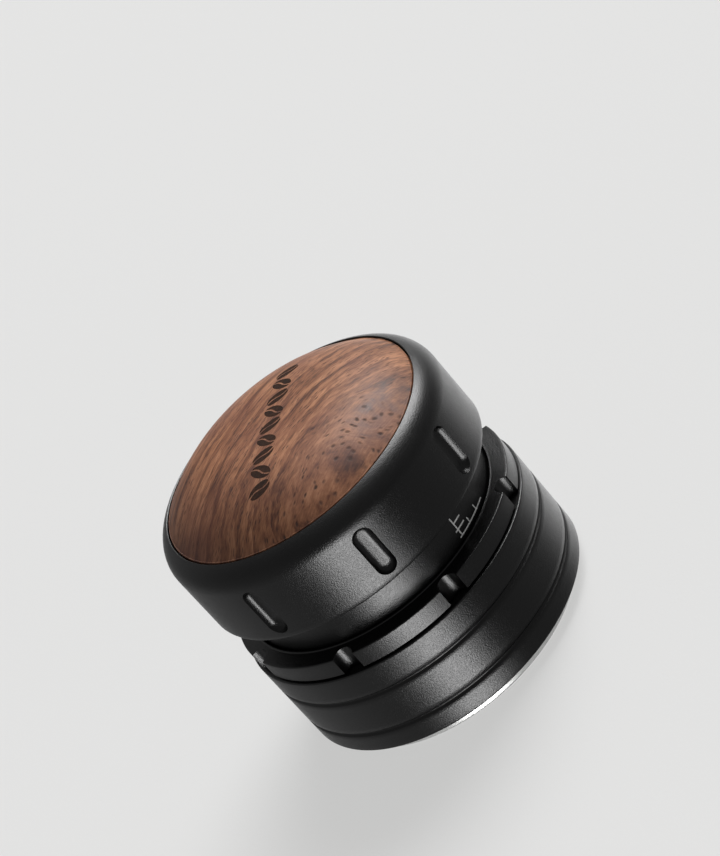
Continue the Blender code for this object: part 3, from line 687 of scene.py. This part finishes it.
def add_half_bean(bm, middle, along, across, tilt, side):
    """One half of a bean: a closed sliver that stands a hair above the wood."""
    length, width, crease = 2.45 * MM, 1.45 * MM, 0.17 * MM
    steps = 14
    outline = []
    for index in range(steps + 1):
        angle = math.pi * index / steps
        outline.append((length * math.cos(angle), side * (crease + (width - crease) * math.sin(angle))))
    for index in range(1, steps):
        share = 1 - 2 * index / steps
        bend = 0.28 * MM * math.sin(math.pi * share)
        outline.append((-length * share, side * crease + bend))
    top, bottom = [], []
    for u, v in outline:
        x = u * math.cos(tilt) - v * math.sin(tilt)
        y = u * math.sin(tilt) + v * math.cos(tilt)
        spot = middle + along * x + across * y
        z = dome_height(spot.length)
        top.append(bm.verts.new((spot.x, spot.y, z + 0.03 * MM)))
        bottom.append(bm.verts.new((spot.x, spot.y, z - 0.12 * MM)))
    count = len(outline)
    for ring in (top, bottom):
        face = bm.faces.new(ring)
        bmesh.ops.triangulate(bm, faces=[face])
    for index in range(count):
        after = (index + 1) % count
        bm.faces.new((top[index], top[after], bottom[after], bottom[index]))


def make_collar(finish, mark):
    chamfer = 0.3 * MM
    bush_hole = 8.3 * MM
    groove_r = SNAP_R + GAP
    points = [(COLLAR_R - chamfer, COLLAR_TOP)]
    points += fine([(COLLAR_R, COLLAR_TOP - chamfer), (COLLAR_R, COLLAR_LOW + EDGE)], 1.5 * MM)
    points += [(COLLAR_R - EDGE, COLLAR_LOW), (bush_hole, COLLAR_LOW), (bush_hole, FLOOR_TOP),
              (COLLAR_BORE_R, FLOOR_TOP), (COLLAR_BORE_R, SNAP_LOW - GAP), (groove_r, SNAP_LOW - GAP),
              (groove_r, SNAP_HIGH + GAP), (COLLAR_BORE_R, SNAP_HIGH + GAP), (COLLAR_BORE_R, COLLAR_TOP)]
    collar = turned("collar_sleeve", points)
    for node in PINS:
        pin_hole(collar, node, PIN_HOLE, 24.5 * MM, 28.5 * MM, SKIRT_STROKE)
    for node in BASE_SCREWS:
        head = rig.box(node)[1].z - BASE_HEAD_H
        drill(collar, node, FLOOR_TOP + GAP, (BASE_HEAD_HOLE, head - GAP),
              (BASE_SCREW_HOLE, COLLAR_LOW - GAP))
    put(collar, "piston", "black_anodised", finish, "guide_collar")
    put(make_scale(), "piston", "black_anodised", mark)


def make_scale():
    """The depth scale: a zero line and three bars one thread pitch apart, with two short ticks."""
    half_line = 0.15 * MM
    half_tick = 0.3             # degrees
    pitch = 1.5 * MM
    zero = RING_TOP + 0.73 * MM
    upright = -59.5             # all angles are in degrees round the collar
    bm = bmesh.new()
    add_mark(bm, upright - half_tick, upright + half_tick, zero, CAP_LOW + 1.2 * MM)
    for count, start, end in ((0, -61.0, -40.0), (1, -61.1, -54.7), (2, -59.5, -54.8)):
        level = zero + count * pitch
        add_mark(bm, start, end, level - half_line, level + half_line)
    for angle in (-52.95, -46.35):
        add_mark(bm, angle - half_tick, angle + half_tick, zero + half_line, zero + 1.25 * MM)
    return finish_mesh(bm, "depth_scale", 40)


def add_mark(bm, start, end, low, high):
    """A thin curved bar on the collar between two angles in degrees."""
    steps = max(1, round(abs(end - start)))
    outer, inner = COLLAR_R + 0.02 * MM, COLLAR_R - 0.1 * MM
    rows = []
    for index in range(steps + 1):
        angle = math.radians(start + (end - start) * index / steps)
        corners = ((outer, high), (outer, low), (inner, low), (inner, high))
        rows.append([bm.verts.new((r * math.cos(angle), r * math.sin(angle), z)) for r, z in corners])
    for here, after in zip(rows, rows[1:]):
        for corner in range(4):
            following = (corner + 1) % 4
            bm.faces.new((here[corner], here[following], after[following], after[corner]))
    bm.faces.new(rows[0])
    bm.faces.new(list(reversed(rows[-1])))


def make_ring(finish):
    lip = 0.25 * MM
    outer_top = RING_TOP - 0.65 * MM
    groove_floor = SEAL_R - 0.9 * MM
    bead = arc((BORE_R + lip, RING_TOP - lip), (lip, lip), 180, 20, 10)
    shoulder = arc((RING_R - lip, outer_top - lip), (lip, lip), 75, 0, 5)
    # the bead and the outer shoulder take the painted edge highlight
    points = mark_painted_highlight(bead) + [(BORE_R + 2.2 * lip, RING_TOP - 0.9 * lip), (RING_R - 2 * lip, outer_top)]
    points += mark_painted_highlight(shoulder[:-1]) + fine([shoulder[-1], (RING_R, RING_LOW + EDGE)], 1.0 * MM)
    points += [(RING_R - EDGE, RING_LOW), (SPIGOT_R, RING_LOW), (SPIGOT_R, SEAL_HIGH + GAP),
               (groove_floor, SEAL_HIGH + GAP), (groove_floor, SEAL_LOW - GAP), (SPIGOT_R, SEAL_LOW - GAP),
               (SPIGOT_R, SPIGOT_LOW), (BORE_R, SPIGOT_LOW)]
    ring = turned("fluted_ring", points)
    top, low = RING_TOP + GAP, RING_LOW - 0.2 * MM
    for index in range(FLUTES):
        angle = VIEW_ANGLE + math.radians(FLUTE_TURN) + index * 2 * math.pi / FLUTES
        flute = turned("flute", [(0, top), (FLUTE_R, top), (FLUTE_R, low), (0, low)], 64)
        flute.location = (RING_R * math.cos(angle), RING_R * math.sin(angle), 0)
        cut(ring, flute)
    ring.data.set_sharp_from_angle(angle=math.radians(25))
    put(ring, "adjuster", "black_anodised", finish, "depth_ring")


def groove(level):
    """A rolled groove: a round valley whose lower shoulder, the side that faces up, takes the painted edge highlight as
    a light line.
    """
    half, depth, steps = 0.6 * MM, 0.45 * MM, 12
    points = []
    for index in range(steps + 1):
        share = 1 - 2 * index / steps
        points.append((SKIRT_R - depth * math.cos(share * math.pi / 2) ** 1.4, level + half * share))
    # painted highlight on the upward-facing stretches of the lower shoulder
    return points[:-4] + mark_painted_highlight(points[-4:-1]) + points[-1:]


def make_skirt(finish):
    lower_bore = BASE_R + 0.42 * MM
    counterbore = SPIGOT_R + SLIDE
    bush_bore = BORE_R + 0.8 * MM
    points = [(counterbore, SKIRT_TOP - EDGE), (counterbore + EDGE, SKIRT_TOP)]
    shoulder = arc((SKIRT_R - FILLET, SKIRT_TOP - FILLET), (FILLET, FILLET), 90, 0, 5)
    # the skirt's top shoulder takes the painted edge highlight
    points += shoulder[:1] + mark_painted_highlight(shoulder[1:-1]) + shoulder[-1:]
    for height in SKIRT_GROOVES:
        valley = groove(SKIRT_LOW + height)
        points += fine([points[-1], valley[0]], 1.0 * MM)[1:] + valley[1:]
    corner = (SKIRT_R - SKIRT_CORNER, SKIRT_LOW + SKIRT_CORNER)
    foot = arc(corner, (SKIRT_CORNER, SKIRT_CORNER), 0, -90, 6)
    points += fine([points[-1], foot[0]], 1.0 * MM)[1:] + foot[1:]
    points += [(lower_bore, SKIRT_LOW), (lower_bore, SHELF_LOW), (bush_bore, SHELF_LOW),
               (bush_bore, BUSH_TOP + GAP), (BORE_R, BUSH_TOP + GAP), (BORE_R, SHELF_TOP),
               (counterbore, SHELF_TOP)]
    skirt = turned("skirt_body", points)
    for node in PINS:
        pin_hole(skirt, node, PIN_HOLE, 26.0 * MM, 30.55 * MM)
    put(skirt, "skirt", "black_anodised", finish, "levelling_skirt")


def make_base(finish):
    edge = 0.5 * MM
    floor = 2.5 * MM
    cavity = WASHER_R + 1.6 * MM
    points = [(0, floor), (cavity, floor), (cavity, BASE_TOP - EDGE), (cavity + EDGE, BASE_TOP),
              (BASE_R - EDGE, BASE_TOP), (BASE_R, BASE_TOP - EDGE)]
    points += arc((BASE_R - edge, BASE_LOW + edge), (edge, edge), 0, -90, 8) + [(0, BASE_LOW)]
    base = turned("base_disc", points)
    for node in BASE_SCREWS:
        drill(base, node, BASE_TOP + GAP, (BASE_SCREW_HOLE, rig.box(node)[0].z - GAP))
    put(base, "piston", "stainless", finish, "tamper_base")


def make_spring(name, node, joint, stroke, fixed_end, finish):
    """A spring's own coils, which shorten by the joint's stroke towards their low (min) or high (max) end."""
    source = frame["nodes"][node]
    coils = bpy.data.objects.new(name, source.data.copy())
    bpy.context.scene.collection.objects.link(coils)
    coils.matrix_world = source.matrix_world.copy()
    _, low, high = span(node)
    put(coils, "piston", "spring_steel", finish, node)
    keep = 1 - stroke / (high - low)
    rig.squash(coils, joint, axis=(0, 0, 1), anchor=(0, 0, fixed_end(low, high)), keep=keep)


def dress_cad_nodes(finishes):
    """Gives each CAD node that still shows its slot's procedural material."""
    for entry in frame["record"]["subparts"]:
        node = frame["nodes"][entry["node"]]
        node.data.materials.clear()
        node.data.materials.append(finishes[entry["material_slot"]])


# ---- studio ----------------------------------------------------------------------------------
FLOOR_SIZE = 4.0
FLOOR_GLOW = (0.535, 0.535, 0.53, 1)
BACKDROP = 0.83                 # of the surroundings where the camera sees them
SKY = 0.28                      # above the horizon
LOW_BAND = 0.31                 # below it, which the walls mirror
# turn from the camera, climb, full inside, gone beyond (degrees), strength
LIGHTS = (
    (131, 50, 6, 24, 17.5),
    (-16, -28, 5, 23, 18.0),
    (153, -28, 12, 46, 1.2),
    (-70, -28, 10, 60, 0.12),
)
LENS = 132.55                   # on a sensor 36 mm high
CAMERA_PLACE = (12.62 * MM, -524.12 * MM, 325.59 * MM)
CAMERA_TILT = 62.0              # from straight down, in degrees
CAMERA_ROLL = -41.07


def make_floor():
    """Pale paper that gives some light of its own, as a light table does, so the shadow stays faint."""
    bm = bmesh.new()
    bmesh.ops.create_grid(bm, x_segments=2, y_segments=2, size=FLOOR_SIZE)
    floor = finish_mesh(bm, "studio_floor", 30)
    n = Nodes("studio_paper")
    tooth = n.noise(1500, 3, 0.6)
    tone = n.mix(n.noise(3, 2, 0.5), (0.125, 0.125, 0.125, 1), (0.135, 0.135, 0.135, 1))
    rough = n.spread(tooth, 0, 1, 0.85, 0.95)
    n.shader.inputs["Emission Color"].default_value = FLOOR_GLOW
    n.shader.inputs["Emission Strength"].default_value = 1.0
    floor.data.materials.append(n.finish(n.bump(tooth, 0.00002), Base_Color=tone, Roughness=rough))
    floor.location = (0, 0, BASE_LOW - 0.01 * MM)
    floor.visible_glossy = False
    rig.stage(floor)


def direction(turn, climb):
    """Unit vector at a turn from the camera's side of the object, towards its right, and a climb."""
    azimuth = VIEW_ANGLE + math.radians(turn)
    rise = math.radians(climb)
    return (math.cos(azimuth) * math.cos(rise), math.sin(azimuth) * math.cos(rise), math.sin(rise))


def make_world():
    """Soft studio surroundings: an even grey, with a few broad soft lights in it."""
    world = bpy.data.worlds.new("studio")
    bpy.context.scene.world = world
    world.use_nodes = True
    tree = world.node_tree
    background = tree.nodes["Background"]
    where = tree.nodes.new("ShaderNodeTexCoord").outputs["Generated"]

    def calc(kind, first, second):
        node = tree.nodes.new("ShaderNodeMath")
        node.operation = kind
        for value, target in zip((first, second), node.inputs):
            if hasattr(value, "links"):
                tree.links.new(value, target)
            else:
                target.default_value = value
        return node.outputs[0]

    def lobe(turn, climb, core, fade, strength):
        """A soft round light: full inside core degrees, gone beyond fade degrees."""
        dot = tree.nodes.new("ShaderNodeVectorMath")
        dot.operation = "DOT_PRODUCT"
        tree.links.new(where, dot.inputs[0])
        dot.inputs[1].default_value = direction(turn, climb)
        edge = tree.nodes.new("ShaderNodeMapRange")
        edge.interpolation_type = "SMOOTHSTEP"
        tree.links.new(dot.outputs["Value"], edge.inputs["Value"])
        edge.inputs["From Min"].default_value = math.cos(math.radians(fade))
        edge.inputs["From Max"].default_value = math.cos(math.radians(core))
        edge.inputs["To Max"].default_value = strength
        return edge.outputs["Result"]

    def slope(value, start, end):
        """A soft step from 0 to 1 as the value runs from start to end."""
        step = tree.nodes.new("ShaderNodeMapRange")
        step.interpolation_type = "SMOOTHSTEP"
        tree.links.new(value, step.inputs["Value"])
        step.inputs["From Min"].default_value = start
        step.inputs["From Max"].default_value = end
        return step.outputs["Result"]

    split = tree.nodes.new("ShaderNodeSeparateXYZ")
    tree.links.new(where, split.inputs["Vector"])
    height = split.outputs["Z"]
    below = calc("MULTIPLY", slope(height, 0.05, -0.2), slope(height, -0.97, -0.72))
    total = calc("ADD", calc("MULTIPLY", below, LOW_BAND), calc("MULTIPLY", slope(height, -0.15, 0.1), SKY))
    for light in LIGHTS:
        total = calc("ADD", total, lobe(*light))
    path = tree.nodes.new("ShaderNodeLightPath").outputs["Is Camera Ray"]
    seen = calc("MULTIPLY", calc("SUBTRACT", BACKDROP, total), path)
    tree.links.new(calc("ADD", total, seen), background.inputs["Strength"])
    background.inputs["Color"].default_value = (1, 1, 1, 1)


def make_camera():
    """A long lens at the photograph's height, rolled as the photograph is."""
    data = bpy.data.cameras.new("camera")
    data.sensor_fit = "VERTICAL"
    data.sensor_height = 36.0
    data.lens = LENS
    data.clip_start = 0.01
    data.clip_end = 20
    camera = bpy.data.objects.new("camera", data)
    bpy.context.scene.collection.objects.link(camera)
    tilt = Matrix.Rotation(math.radians(CAMERA_TILT), 4, "X")
    roll = Matrix.Rotation(math.radians(CAMERA_ROLL), 4, "Z")
    place = Matrix.Translation(CAMERA_PLACE)
    camera.matrix_world = place @ tilt @ roll
    bpy.context.scene.camera = camera


def main():
    black = anodised()
    steel = turned_metal("stainless_satin", (0.86, 0.86, 0.85), 0.36, 0.12 * MM, 0.35)
    brass = turned_metal("brass_turned", (0.62, 0.43, 0.17), 0.28, 0.1 * MM)
    finishes = {
        "black_anodised": black,
        "stainless": steel,
        "walnut": walnut(),
        "brass": brass,
        "acetal": polymer("acetal_machined", (0.72, 0.71, 0.66), 0.45, 2500),
        "spring_steel": wire("spring_steel_drawn", (0.34, 0.34, 0.35), 0.28),
        "zinc_steel": wire("zinc_plated_steel", (0.55, 0.56, 0.58), 0.30),
        "nitrile": polymer("nitrile_black", (0.018, 0.018, 0.018), 0.6, 3500),
    }
    dress_cad_nodes(finishes)
    # the second material paints highlight lines on the marked edges
    machined = (black, painted_edge_highlight())
    make_cap(machined)
    make_dome((finishes["walnut"],), (burnt(),))
    make_collar(machined, (laser_white(),))
    make_ring(machined)
    make_skirt(machined)
    make_base((steel,))
    spring = (finishes["spring_steel"],)
    make_spring("pressure_coil", "pressure_spring", "handle_press", PRESS_STROKE, min, spring)
    make_spring("levelling_coil", "levelling_spring", "skirt_slide", SKIRT_STROKE, max, spring)
    make_floor()
    make_world()
    make_camera()
    bpy.context.scene.view_settings.view_transform = "Standard"
    corners = [[list(corner) for corner in box] for box in (CAD_BOX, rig.bounds())]
    with open("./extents.json", "w") as out:
        json.dump({"cad": corners[0], "visual": corners[1]}, out)


main()
